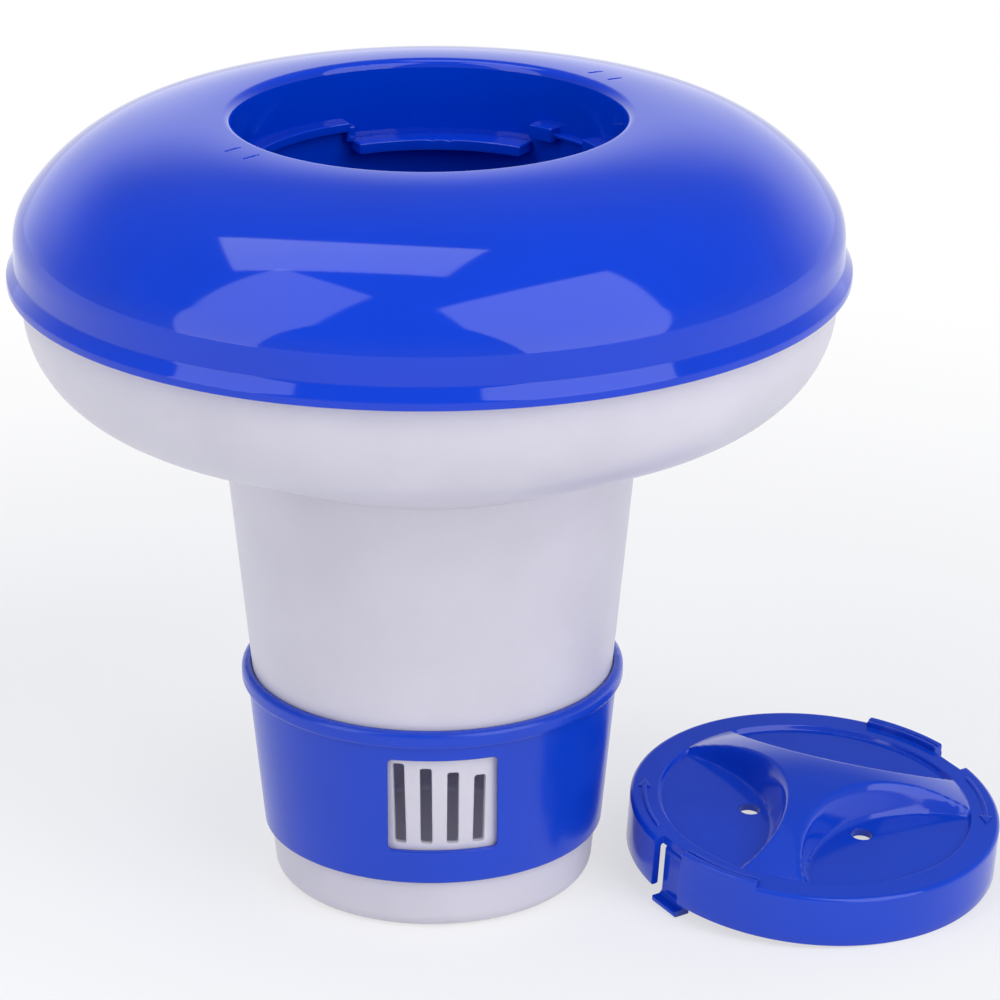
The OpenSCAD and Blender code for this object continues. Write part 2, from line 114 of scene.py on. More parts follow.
# The cap, in its own frame with the skirt's lower edge at height 0
CAP_PLACE = (96.0, -6.0)
CAP_R = 47.0
SKIRT_H = 13.5
BAND_IN_R = 39.8
BAND_UNDER_Z = 11.3
EDGE_ROUND = 1.2
SCOOP_FLOOR_Z = 12.3
CROWN_H = 8.5
CROWN_R = (BAND_IN_R**2 + CROWN_H**2) / (2 * CROWN_H)
CROWN_CENTRE_Z = SKIRT_H + CROWN_H - CROWN_R
SCOOP_TURNS = (70, 190, 310)
SCOOP_R = 36.5
SCOOP_CENTRE = 12.4 + SCOOP_R
SCOOP_STEEP = 17 / 6
VENT_R = 2.75
VENT_REACH = 17.0
LATCH_ANGLE = 214
LATCH_TURNS = {"latch_front": LATCH_ANGLE, "latch_back": LATCH_ANGLE - 180}
NOTCH_W = 10.6
NOTCH_HALF_ANGLE = 6.47
PAD_SPAN = 27
PAD_H = 1.5
PAD_W = 3.0
# The fine line in a pad's top: distance from the pad's inner side, width and depth
PAD_LINE = (0.9, 0.5, 0.6)
# A turn arrow: distance in from the skirt's face, angle, width, height, half width and length of its head
ARROW_INSET = 3.6
ARROW_SPAN = 26
ARROW_W = 1.0
ARROW_H = 0.35
ARROW_HEAD = (1.6, 3.4)
FINGER_W = 9.2
FINGER_FACE_R = 43.6
FINGER_BACK_R = 41.8
FOOT_H = 4.6
FOOT_W = 1.8
TOE_INSET = 0.2
TOE_CUT = 0.8
KNUCKLE = (42.7, 10.0, 1.2)
CAP_TILT = atan(FOOT_H / (CAP_R - FINGER_W / 2))


class DispenserFinish(bpy.types.PropertyGroup):
    """Colours and gloss of the moulded plastics and the seals."""

    dome_colour: FloatVectorProperty(
        name="Dome colour", description="Colour of the float's upper shell",
        default=(0.0, 0.045, 0.6), subtype="COLOR", min=0, max=1)
    dome_roughness: FloatProperty(
        name="Dome roughness", description="Roughness of the polished upper shell",
        default=0.065, min=0, max=1, subtype="FACTOR")
    cap_colour: FloatVectorProperty(
        name="Cap colour", description="Colour of the cap and its latch fingers",
        default=(0.004, 0.053, 0.57), subtype="COLOR", min=0, max=1)
    cap_roughness: FloatProperty(
        name="Cap roughness", description="Roughness of the cap",
        default=0.11, min=0, max=1, subtype="FACTOR")
    ring_colour: FloatVectorProperty(
        name="Ring colour", description="Colour of the flow ring",
        default=(0.003, 0.05, 0.56), subtype="COLOR", min=0, max=1)
    ring_roughness: FloatProperty(
        name="Ring roughness", description="Roughness of the flow ring",
        default=0.22, min=0, max=1, subtype="FACTOR")
    shell_colour: FloatVectorProperty(
        name="Shell colour", description="Colour of the white hull and canister",
        default=(0.68, 0.655, 0.715), subtype="COLOR", min=0, max=1)
    shell_roughness: FloatProperty(
        name="Shell roughness", description="Roughness of the white shells",
        default=0.33, min=0, max=1, subtype="FACTOR")
    seal_colour: FloatVectorProperty(
        name="Seal colour", description="Colour of the rubber seals",
        default=(0.02, 0.02, 0.023), subtype="COLOR", min=0, max=1)
    seal_roughness: FloatProperty(
        name="Seal roughness", description="Roughness of the rubber seals",
        default=0.6, min=0, max=1, subtype="FACTOR")


class DispenserShape(bpy.types.PropertyGroup):
    """Softness and fineness of the shapes that are made here."""

    edge_soft: FloatProperty(
        name="Edge softness", description="How far before a corner its rounding starts",
        default=0.0004, min=0.0001, max=0.0006, unit="LENGTH")
    ridge_soft: FloatProperty(
        name="Ridge softness", description="Height over which the cap's arms round into its scoops",
        default=0.0022, min=0.0002, max=0.004, unit="LENGTH")
    fillet_soft: FloatProperty(
        name="Fillet softness", description="Height over which a scoop's wall runs into its floor",
        default=0.0012, min=0.0002, max=0.003, unit="LENGTH")
    columns: IntProperty(
        name="Columns", description="Steps round the dome and the cap",
        default=360, min=120, max=720)


class DispenserStage(bpy.types.PropertyGroup):
    """Light and view."""

    panel_light: FloatProperty(
        name="Panel light", description="Brightness of the soft panels",
        default=1.9, min=0, max=10)
    room_light: FloatProperty(
        name="Room light", description="Brightness of the even light all round",
        default=0.5, min=0, max=4)
    wall_light: FloatProperty(
        name="Wall light", description="Brightness of the pale wall behind the object",
        default=0.85, min=0, max=4)
    floor_colour: FloatVectorProperty(
        name="Floor colour", description="Colour of the plain floor",
        default=(0.86, 0.86, 0.87), subtype="COLOR", min=0, max=1)
    floor_radius: FloatProperty(
        name="Floor radius", description="Radius of the plain floor",
        default=6, min=1, unit="LENGTH")


def polar(r, turn, z):
    """The point at distance r from the axis, at an angle in degrees."""
    return (r * cos(radians(turn)), r * sin(radians(turn)), z)


def arc(centre, radius, start, end, steps):
    """Points along an arc from angle start to angle end, both included."""
    turns = [radians(start + (end - start) * i / steps) for i in range(steps + 1)]
    return [(centre[0] + radius * cos(a), centre[1] + radius * sin(a)) for a in turns]


def span(start, end, steps):
    """Even values from start to end, both included."""
    return [start + (end - start) * i / steps for i in range(steps + 1)]


def smooth_step(low, high, value):
    """0 below low, 1 above high and an even curve between."""
    t = min(max((value - low) / (high - low), 0), 1)
    return t * t * (3 - 2 * t)


def blend_min(a, b, soft):
    """The lower of two heights, rounded where they cross."""
    near = max(soft - abs(a - b), 0) / soft
    return min(a, b) - near * near * soft / 4


def blend_max(a, b, soft):
    """The higher of two heights, rounded where they cross."""
    return -blend_min(-a, -b, soft)


def soften(points, reach, steps=4):
    """A closed outline whose clear corners are turned into short curves."""
    out = []
    for i, corner in enumerate(points):
        before = Vector(points[i - 1]) - Vector(corner)
        after = Vector(points[(i + 1) % len(points)]) - Vector(corner)
        turn = pi - before.angle(after)
        if turn < radians(20):
            out.append(tuple(corner))
            continue
        start = before.normalized() * min(reach, before.length * 0.45)
        end = after.normalized() * min(reach, after.length * 0.45)
        for t in span(0, 1, steps):
            away = start * (1 - t) ** 2 + end * t**2
            out.append((corner[0] + away[0], corner[1] + away[1]))
    return out


def shrunk(outline, inset):
    """An outline drawn in towards its middle by about inset on each side."""
    low = [min(p[k] for p in outline) for k in (0, 1)]
    high = [max(p[k] for p in outline) for k in (0, 1)]
    result = []
    for p in outline:
        moved = []
        for k in (0, 1):
            middle = (low[k] + high[k]) / 2
            half = (high[k] - low[k]) / 2
            moved.append(middle + (p[k] - middle) * (half - inset) / half)
        result.append(tuple(moved))
    return result


class Shell:
    """The points and faces of one piece, in millimetres."""

    def __init__(self):
        self.points = []
        self.faces = []

    def skin(self, rows, loop=False, closed=True):
        """Joins rows of points; loop joins the last row to the first, closed each row's two ends."""
        base = len(self.points)
        count = len(rows[0])
        for row in rows:
            self.points.extend(row)
        last = len(rows) if loop else len(rows) - 1
        for i in range(last):
            here = base + i * count
            there = base + (i + 1) % len(rows) * count
            for j in range(count if closed else count - 1):
                k = (j + 1) % count
                self.faces.append((here + j, here + k, there + k, there + j))
        if not loop:
            self.faces.append(tuple(range(base, base + count)))
            self.faces.append(tuple(range(base + last * count, base + (last + 1) * count)))

    def arc_bar(self, outline, start, turn, soft, shape=None):
        """A bar of that section (r, z) that follows the axis round, with rounded ends."""
        reach = soft / outline[0][0] * 180 / pi
        steps = max(2, int(abs(turn) / 1.5))
        turns = [start] + span(start + reach, start + turn - reach, steps) + [start + turn]
        rows = []
        for i, angle in enumerate(turns):
            section = shrunk(outline, soft * 0.7) if i in (0, len(turns) - 1) else outline
            if shape:
                section = [shape(r, z, angle) for r, z in section]
            rows.append([polar(r, angle, z) for r, z in section])
        self.skin(rows)

    def slab(self, outline, width, soft, place):
        """A bar of that section (r, z), width across the radius, with rounded ends, put in place."""
        half = width / 2
        rows = []
        for y, inset in ((-half, soft * 0.7), (soft - half, 0), (half - soft, 0), (half, soft * 0.7)):
            section = shrunk(outline, inset) if inset else outline
            rows.append([tuple(place @ Vector((r, y, z))) for r, z in section])
        self.skin(rows)

    def piece(self, name, place=None):
        """The mesh object, in metres, with its faces turned outward."""
        mesh = bpy.data.meshes.new(name)
        mesh.from_pydata([Vector(p) * MM for p in self.points], [], self.faces)
        work = bmesh.new()
        work.from_mesh(mesh)
        bmesh.ops.remove_doubles(work, verts=work.verts, dist=WELD)
        bmesh.ops.recalc_face_normals(work, faces=work.faces)
        if place:
            work.transform(Matrix.Scale(MM, 4) @ place @ Matrix.Scale(1 / MM, 4))
        work.to_mesh(mesh)
        work.free()
        result = bpy.data.objects.new(name, mesh)
        bpy.context.scene.collection.objects.link(result)
        return result


def bar_section(r_in, r_out, z_low, z_high, soft):
    """A rectangle in section with soft corners."""
    return soften([(r_in, z_low), (r_out, z_low), (r_out, z_high), (r_in, z_high)], soft)


def settle(piece, body, finish, *nodes):
    """Shades a piece, gives it its material and sets it on its body in place of the CAD nodes."""
    piece.data.shade_smooth()
    piece.data.set_sharp_from_angle(angle=radians(SHARP_ANGLE))
    piece.data.materials.clear()
    piece.data.materials.append(plastic(finish))
    if nodes:
        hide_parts(*nodes)
    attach(piece, body)


def carry_over(name, finish):
    """Gives a CAD node its finished material."""
    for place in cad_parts[name].material_slots:
        place.material = plastic(finish)


def node(tree, kind, place, **values):
    """A shader node with its input values and settings."""
    made = tree.nodes.new(kind)
    made.location = place
    for key, value in values.items():
        if key in made.inputs:
            made.inputs[key].default_value = value
        else:
            setattr(made, key, value)
    return made


def math_node(tree, operation, place, first, second):
    """A maths node; each of its two inputs is a socket or a number."""
    made = node(tree, "ShaderNodeMath", place, operation=operation)
    for i, source in enumerate((first, second)):
        if isinstance(source, bpy.types.NodeSocket):
            tree.links.new(source, made.inputs[i])
        else:
            made.inputs[i].default_value = source
    return made.outputs[0]


def moulded_skin():
    """Node group: grain, long waves, drawn streaks, light scuffs and rounded edges of a moulding."""
    name = "Moulded skin"
    if name in bpy.data.node_groups:
        return bpy.data.node_groups[name]
    tree = bpy.data.node_groups.new(name, "ShaderNodeTree")
    inputs = ("Roughness", "Gloss Change", "Scuffs", "Grain Scale", "Grain Depth",
              "Wave Scale", "Wave Depth", "Streak Scale", "Streak Depth", "Edge Radius")
    for label in inputs:
        tree.interface.new_socket(label, in_out="INPUT", socket_type="NodeSocketFloat")
    tree.interface.new_socket("Tone", in_out="OUTPUT", socket_type="NodeSocketFloat")
    tree.interface.new_socket("Roughness", in_out="OUTPUT", socket_type="NodeSocketFloat")
    tree.interface.new_socket("Normal", in_out="OUTPUT", socket_type="NodeSocketVector")
    put_in = node(tree, "NodeGroupInput", (-1000, 0))
    put_out = node(tree, "NodeGroupOutput", (700, 0))
    where = node(tree, "ShaderNodeTexCoord", (-1000, 400)).outputs["Object"]
    values = put_in.outputs
    link = tree.links.new

    grain = node(tree, "ShaderNodeTexNoise", (-600, 500), Detail=3.0)
    wave = node(tree, "ShaderNodeTexNoise", (-600, 250), Detail=1.0)
    tone = node(tree, "ShaderNodeTexNoise", (-600, -500), Scale=34.0, Detail=4.0)
    scuff = node(tree, "ShaderNodeTexNoise", (-600, -250), Scale=160.0, Detail=6.0, Distortion=1.4)
    stretch = node(tree, "ShaderNodeMapping", (-800, 0), Scale=(1.0, 1.0, 0.05))
    streak = node(tree, "ShaderNodeTexNoise", (-600, 0), Detail=3.0)
    link(where, stretch.inputs["Vector"])
    link(stretch.outputs["Vector"], streak.inputs["Vector"])
    for texture in (grain, wave, tone, scuff):
        link(where, texture.inputs["Vector"])
    link(values["Grain Scale"], grain.inputs["Scale"])
    link(values["Wave Scale"], wave.inputs["Scale"])
    link(values["Streak Scale"], streak.inputs["Scale"])

    grain_h = math_node(tree, "MULTIPLY", (-350, 500), grain.outputs[0], values["Grain Depth"])
    wave_h = math_node(tree, "MULTIPLY", (-350, 250), wave.outputs[0], values["Wave Depth"])
    streak_h = math_node(tree, "MULTIPLY", (-350, 0), streak.outputs[0], values["Streak Depth"])
    height = math_node(tree, "ADD", (-150, 400), grain_h, wave_h)
    height = math_node(tree, "ADD", (50, 300), height, streak_h)
    edge = node(tree, "ShaderNodeBevel", (50, 100), samples=6)
    bump = node(tree, "ShaderNodeBump", (300, 200), Strength=1.0, Distance=1.0)
    link(values["Edge Radius"], edge.inputs["Radius"])
    link(edge.outputs["Normal"], bump.inputs["Normal"])
    link(height, bump.inputs["Height"])
    link(bump.outputs["Normal"], put_out.inputs["Normal"])

    rub = node(tree, "ShaderNodeMapRange", (-350, -250))
    rub.inputs["From Min"].default_value = 0.6
    rub.inputs["From Max"].default_value = 0.78
    link(scuff.outputs[0], rub.inputs["Value"])
    rubbed = math_node(tree, "MULTIPLY", (-150, -250), rub.outputs[0], values["Scuffs"])
    centred = math_node(tree, "SUBTRACT", (-350, -500), tone.outputs[0], 0.5)
    change = math_node(tree, "MULTIPLY", (-150, -400), centred, values["Gloss Change"])
    rough = math_node(tree, "ADD", (50, -200), values["Roughness"], change)
    rough = math_node(tree, "ADD", (250, -200), rough, rubbed)
    link(rough, put_out.inputs["Roughness"])
    link(tone.outputs[0], put_out.inputs["Tone"])
    return tree


# How each finish sets the moulded skin: lengths in metres, scales in cycles a metre
SKINS = {
    "dome_plastic": {"Gloss Change": 0.05, "Scuffs": 0.05, "Grain Scale": 2600, "Grain Depth": 2e-7,
                     "Wave Scale": 42, "Wave Depth": 3.2e-5, "Streak Scale": 90, "Streak Depth": 0.0,
                     "Edge Radius": 0.0002},
    "cap_plastic": {"Gloss Change": 0.07, "Scuffs": 0.05, "Grain Scale": 2200, "Grain Depth": 5e-7,
                    "Wave Scale": 60, "Wave Depth": 5e-5, "Streak Scale": 120, "Streak Depth": 1e-6,
                    "Edge Radius": 0.0003},
    "ring_plastic": {"Gloss Change": 0.08, "Scuffs": 0.03, "Grain Scale": 2000, "Grain Depth": 6e-7,
                     "Wave Scale": 50, "Wave Depth": 2e-5, "Streak Scale": 110, "Streak Depth": 3.5e-5,
                     "Edge Radius": 0.0007},
    "shell_plastic": {"Gloss Change": 0.1, "Scuffs": 0.06, "Grain Scale": 1800, "Grain Depth": 8e-7,
                      "Wave Scale": 38, "Wave Depth": 3e-5, "Streak Scale": 90, "Streak Depth": 6e-6,
                      "Edge Radius": 0.0006},
    "seal_rubber": {"Gloss Change": 0.15, "Scuffs": 0.1, "Grain Scale": 1500, "Grain Depth": 4e-6,
                    "Wave Scale": 100, "Wave Depth": 1e-5, "Streak Scale": 100, "Streak Depth": 0.0,
                    "Edge Radius": 0.0002},
}


# The white shells let a little light through; lengths in metres
MILKY = {
    "Subsurface Weight": 0.15,
    "Subsurface Radius": (1.0, 1.0, 1.5),
    "Subsurface Scale": 0.003,
}
PLASTIC_IOR = 1.46
# How much darker and lighter the mottled tone runs than the colour
TONE_RANGE = (0.88, 1.1)


def plastic(finish):
    """The material of one finish, made the first time it is asked for."""
    if finish + "_finish" in bpy.data.materials:
        return bpy.data.materials[finish + "_finish"]
    settings = bpy.context.scene.dispenser_finish
    part = finish.split("_")[0]
    colour = getattr(settings, part + "_colour")
    material = bpy.data.materials.new(finish + "_finish")
    material.use_nodes = True
    tree = material.node_tree
    shader = tree.nodes["Principled BSDF"]
    skin = node(tree, "ShaderNodeGroup", (-500, 0))
    skin.node_tree = moulded_skin()
    skin.inputs["Roughness"].default_value = getattr(settings, part + "_roughness")
    for label, value in SKINS[finish].items():
        skin.inputs[label].default_value = value
    tint = node(tree, "ShaderNodeMix", (-250, 150), data_type="RGBA")
    low, high = [s for s in tint.inputs if s.type == "RGBA"]
    low.default_value = (*[c * TONE_RANGE[0] for c in colour], 1)
    high.default_value = (*[min(c * TONE_RANGE[1], 1) for c in colour], 1)
    tree.links.new(skin.outputs["Tone"], tint.inputs["Factor"])
    mixed = [s for s in tint.outputs if s.type == "RGBA"][0]
    tree.links.new(mixed, shader.inputs["Base Color"])
    tree.links.new(skin.outputs["Roughness"], shader.inputs["Roughness"])
    tree.links.new(skin.outputs["Normal"], shader.inputs["Normal"])
    if finish == "shell_plastic":
        for label, value in MILKY.items():
            shader.inputs[label].default_value = value
    shader.inputs["IOR"].default_value = PLASTIC_IOR
    return material


def dome_outline(soft):
    """The upper shell in section, from the rim flange over the crown and down the well."""
    side_c = (DOME_R - SIDE_R, FLANGE_TOP_Z + SIDE_H)
    step = SHOULDER_R - SIDE_R
    shoulder_c = (side_c[0] - step * sin(radians(SHOULDER_ANGLE)),
                  side_c[1] - step * cos(radians(SHOULDER_ANGLE)))
    crown_r = (shoulder_c[0] + SHOULDER_R * sin(radians(CROWN_ANGLE)) - CREST_R) / sin(radians(CROWN_ANGLE))
    crown_c = (CREST_R, CREST_Z - crown_r)
    crown_low = 90 - CROWN_ANGLE
    side_high = 90 - SHOULDER_ANGLE
    outer = [(FLOAT_R, RIM_Z), (FLOAT_R, RIM_Z + FLANGE_EDGE_H), (DOME_R, FLANGE_TOP_Z)]
    outer += arc(side_c, SIDE_R, 0, side_high, 24)
    outer += arc(shoulder_c, SHOULDER_R, side_high, crown_low, 40)[1:]
    outer += arc(crown_c, crown_r, crown_low, 90, 60)[1:]
    outer += arc((CREST_R, CREST_Z - WELL_ROUND), WELL_ROUND, 90, 180, 12)[1:]
    tube_r = WELL_R + WALL
    ring_r, ring_z, ring_h = COLLAR_RING
    inner = [(WELL_R, TUBE_Z), (tube_r, TUBE_Z), (tube_r, ring_z), (ring_r, ring_z),
             (ring_r, ring_z + ring_h), (tube_r, ring_z + ring_h), (tube_r, CREST_Z - WALL)]
    inner += arc(crown_c, crown_r - WALL, 90, crown_low, 24)
    inner += arc(shoulder_c, SHOULDER_R - WALL, crown_low, side_high, 24)[1:]
    inner += arc(side_c, SIDE_R - WALL, side_high, 0, 12)[1:]
    groove_in, groove_out, groove_h = GROOVE
    lip_r = groove_in - WALL
    inner += [(DOME_R - WALL, FLANGE_TOP_Z + 0.5), (lip_r, FLANGE_TOP_Z + 0.5), (lip_r, RIM_Z),
              (groove_in, RIM_Z), (groove_in, RIM_Z + groove_h), (groove_out, RIM_Z + groove_h),
              (groove_out, RIM_Z)]
    return soften(outer + inner, soft)


def mark_share(x, y):
    """1 in the middle of an alignment mark, 0 away from them all."""
    half = MARK_LENGTH / 2
    middle = cos(radians(MARK_SPREAD)) * (CREST_R + MARK_INSET) + half
    aside = sin(radians(MARK_SPREAD)) * (CREST_R + MARK_INSET + half)
    for pair in (MARK_ANGLE, MARK_ANGLE - 180):
        along = x * cos(radians(pair)) + y * sin(radians(pair))
        across = abs(-x * sin(radians(pair)) + y * cos(radians(pair)))
        off = max(abs(across - aside) - MARK_WIDTH / 2, abs(along - middle) - half)
        if along > 0 and off < MARK_SOFT:
            return 1 - smooth_step(-MARK_SOFT, MARK_SOFT, off)
    return 0


def dome_columns(count):
    """Angles round the dome, closer together across the alignment marks."""
    angles = {round(360 * i / count, 3) for i in range(count)}
    for pair in (MARK_ANGLE, MARK_ANGLE - 180):
        for side in (-1, 1):
            angles |= {round(pair + side * (MARK_SPREAD + d), 3) for d in span(-0.9, 0.9, 22)}
    return sorted(angles)


class DISPENSER_OT_dome(bpy.types.Operator):
    """Turn the glossy upper shell with its well, rim flange and alignment marks"""

    bl_idname = "dispenser.dome"
    bl_label = "Upper shell"

    def execute(self, context):
        shape = context.scene.dispenser_shape
        outline = dome_outline(shape.edge_soft / MM)
        rows = []
        for angle in dome_columns(shape.columns):
            row = []
            for r, z in outline:
                x, y, z = polar(r, angle, z)
                if r > CREST_R and MARK_FLOOR_Z < z:
                    z -= mark_share(x, y) * (z - MARK_FLOOR_Z)
                row.append((x, y, z))
            rows.append(row)
        shell = Shell()
        shell.skin(rows, loop=True)
        settle(shell.piece("dome_shell"), "float", "dome_plastic", "float_dome")
        return {"FINISHED"}


def notched(r, z, angle):
    """Dips the shelf's inner top edge at its two small notches."""
    near = min(abs((angle % 180) - notch) for notch in SHELF_NOTCHES)
    if near < 1 and r < WELL_R - SHELF_PROUD + 0.7 and z > SHELF_Z - 0.5:
        return r + 0.5 * (1 - near), z - 0.4 * (1 - near)
    return r, z


class DISPENSER_OT_bayonet(bpy.types.Operator):
    """Mould the ledges, stops, catch blocks and entry shelves in the well's wall"""

    bl_idname = "dispenser.bayonet"
    bl_label = "Well bayonet"

    def execute(self, context):
        soft = context.scene.dispenser_shape.edge_soft / MM
        wall_r = WELL_R + SUNK
        shelf_r = WELL_R - SHELF_PROUD
        shell = Shell()
        for turn in (0, 180):
            for proud, low, high, start, cover in BAYONET_BARS.values():
                section = bar_section(WELL_R - proud, wall_r, low, high, soft)
                shell.arc_bar(section, start + turn, cover, soft)
            section = bar_section(shelf_r, wall_r, SHELF_Z - SHELF_H, SHELF_Z, soft)
            start, cover = SHELF_ARC
            shell.arc_bar(section, start + turn, cover, soft, notched)
        settle(shell.piece("well_bayonet"), "float", "dome_plastic")
        return {"FINISHED"}


class DISPENSER_OT_shells(bpy.types.Operator):
    """Finish the white hull and canister"""

    bl_idname = "dispenser.shells"
    bl_label = "Hull and canister"

    def execute(self, context):
        for name in ("float_hull", "canister"):
            carry_over(name, "shell_plastic")
        return {"FINISHED"}


class DISPENSER_OT_ring(bpy.types.Operator):
    """Finish the flow ring"""

    bl_idname = "dispenser.ring"
    bl_label = "Flow ring"

    def execute(self, context):
        carry_over("flow_ring", "ring_plastic")
        return {"FINISHED"}


class DISPENSER_OT_seals(bpy.types.Operator):
    """Finish the two rubber seals"""

    bl_idname = "dispenser.seals"
    bl_label = "Seals"

    def execute(self, context):
        for name in ("rim_seal", "well_seal"):
            carry_over(name, "seal_rubber")
        return {"FINISHED"}


def cap_place():
    """The matrix that sets the cap down beside the float, on its latch feet and its skirt's edge."""
    spin = radians(LATCH_ANGLE - 180)
    lift = CAP_R * sin(CAP_TILT)
    return (Matrix.Translation((*CAP_PLACE, lift)) @ Matrix.Rotation(spin, 4, "Z")
            @ Matrix.Rotation(CAP_TILT, 4, "X") @ Matrix.Rotation(-spin, 4, "Z"))


def cap_height(x, y, sunk, ridge, fillet):
    """Height of the cap's upper skin, or of the skin that lies sunk below it."""
    out = hypot(x, y)
    crown_r = CROWN_R - sunk
    top = CROWN_CENTRE_Z + sqrt(crown_r**2 - min(out, BAND_IN_R)**2)
    for turn in SCOOP_TURNS:
        centre = polar(SCOOP_CENTRE, turn, 0)
        reach = hypot(x - centre[0], y - centre[1]) - SCOOP_R - sunk
        wall = SCOOP_FLOOR_Z + reach * SCOOP_STEEP
        top = blend_min(top, blend_max(wall, SCOOP_FLOOR_Z - sunk, fillet), ridge)
    band = SKIRT_H if sunk == 0 else BAND_UNDER_Z
    edge = BAND_IN_R - sunk
    share = smooth_step(edge - 0.8, edge + 0.1, out)
    return top * (1 - share) + band * share


def cap_row(angle, ridge, fillet):
    """One section of the cap at an angle, from the crown over the skirt and back under it."""
    upper = span(0, BAND_IN_R - 1, 86) + span(BAND_IN_R - 0.8, BAND_IN_R + 0.4, 8)
    upper += span(BAND_IN_R + 1, CAP_R - EDGE_ROUND - 0.4, 5)
    row = []
    for r in upper:
        x, y, z = polar(r, angle, 0)
        row.append((x, y, cap_height(x, y, 0, ridge, fillet)))
    edge_c = (CAP_R - EDGE_ROUND, SKIRT_H - EDGE_ROUND)
    skirt = arc(edge_c, EDGE_ROUND, 90, 0, 8)
    skirt += [(CAP_R, z) for z in span(SKIRT_H - EDGE_ROUND - 0.6, 0.5, 4)]
    skirt += [(CAP_R - 0.15, 0.12), (CAP_R - 0.5, 0), (CAP_R - WALL + 0.4, 0), (CAP_R - WALL, 0.4)]
    skirt += [(CAP_R - WALL, BAND_UNDER_Z - 0.5), (CAP_R - WALL - 0.15, BAND_UNDER_Z - 0.15)]
    skirt += [(CAP_R - WALL - 0.5, BAND_UNDER_Z)]
    row += [polar(r, angle, z) for r, z in skirt]
    lower = span(BAND_IN_R + 0.5, BAND_IN_R - WALL - 1, 10) + span(BAND_IN_R - WALL - 2, 0, 40)
    for r in lower:
        x, y, z = polar(r, angle, 0)
        row.append((x, y, cap_height(x, y, WALL, ridge, fillet)))
    return row


def cap_cutters(place):
    """The vents' and the latch notches' cutting shapes as one object."""
    cutter = Shell()
    for turn in SCOOP_TURNS:
        middle = polar(VENT_REACH, turn, 0)
        ring = [polar(VENT_R, a, 0) for a in range(0, 360, 8)]
        rows = [[(middle[0] + p[0], middle[1] + p[1], z) for p in ring] for z in (5.0, 30.0)]
        cutter.skin(rows)
    inner = FINGER_FACE_R + 0.3
    outer = CAP_R + 9
    top = SKIRT_H + 5
    box = [(inner, -1), (outer, -1), (outer, top), (inner, top)]
    for turn in LATCH_TURNS.values():
        spin = Matrix.Rotation(radians(turn), 4, "Z")
        rows = [[tuple(spin @ Vector((r, y, z))) for r, z in box] for y in (-NOTCH_W / 2, NOTCH_W / 2)]
        cutter.skin(rows)
    return cutter.piece("cap_cutters", place)


def cut_away(piece, cutter):
    """Takes the cutter's shapes out of the piece and removes the cutter."""
    change = piece.modifiers.new("openings", "BOOLEAN")
    change.operation = "DIFFERENCE"
    change.solver = "EXACT"
    change.object = cutter
    graph = bpy.context.evaluated_depsgraph_get()
    mesh = bpy.data.meshes.new_from_object(piece.evaluated_get(graph))
    piece.modifiers.clear()
    piece.data = mesh
    bpy.data.objects.remove(cutter)


class DISPENSER_OT_cap(bpy.types.Operator):
    """Mould the cap: crown with three arms, scoops with vents, band, skirt, pads and turn arrows"""

    bl_idname = "dispenser.cap"
    bl_label = "Cap"

    def execute(self, context):
        shape = context.scene.dispenser_shape
        soft = shape.edge_soft / MM
        place = cap_place()
        body = Shell()
        rows = [cap_row(360 * i / shape.columns, shape.ridge_soft / MM, shape.fillet_soft / MM)
                for i in range(shape.columns)]
        body.skin(rows, loop=True, closed=False)
        piece = body.piece("cap_shell", place)
        cut_away(piece, cap_cutters(place))
        settle(piece, "cap", "cap_plastic", "cap")

        extras = Shell()
        pad_in = CAP_R - PAD_W
        pad_low = SKIRT_H - EDGE_ROUND
        pad_top = SKIRT_H + PAD_H
        line_in = pad_in + PAD_LINE[0]
        line_out = line_in + PAD_LINE[1]
        line_z = pad_top - PAD_LINE[2]
        pad = soften([(pad_in, pad_low), (CAP_R, pad_low), (CAP_R, pad_top), (line_out, pad_top),
                      (line_out, line_z), (line_in, line_z), (line_in, pad_top), (pad_in, pad_top)], soft)
        arrow_r = CAP_R - ARROW_INSET
        arrow_z = (SKIRT_H - SUNK, SKIRT_H + ARROW_H)
        arrow = bar_section(arrow_r - ARROW_W / 2, arrow_r + ARROW_W / 2, *arrow_z, 0.15)
        head_half, head_length = ARROW_HEAD
        head = [(arrow_r - head_half, 0.1), (arrow_r + head_half, 0.1), (arrow_r, -head_length)]
        seat_r = FINGER_BACK_R - SUNK
        seat = bar_section(seat_r - KNUCKLE[2], seat_r, KNUCKLE[1] - KNUCKLE[2],
                           KNUCKLE[1] + KNUCKLE[2] + SUNK, 0.2)
        for turn in LATCH_TURNS.values():
            extras.arc_bar(pad, turn + NOTCH_HALF_ANGLE, PAD_SPAN, soft)
            arrow_end = turn - 2 * NOTCH_HALF_ANGLE - ARROW_SPAN
            extras.arc_bar(arrow, arrow_end, ARROW_SPAN, 0.2)
            spin = Matrix.Rotation(radians(arrow_end), 4, "Z")
            extras.skin([[tuple(spin @ Vector((x, y, z))) for x, y in head] for z in arrow_z])
            extras.slab(seat, NOTCH_W, 0.2, Matrix.Rotation(radians(turn), 4, "Z"))
        settle(extras.piece("cap_details", place), "cap", "cap_plastic")
        return {"FINISHED"}


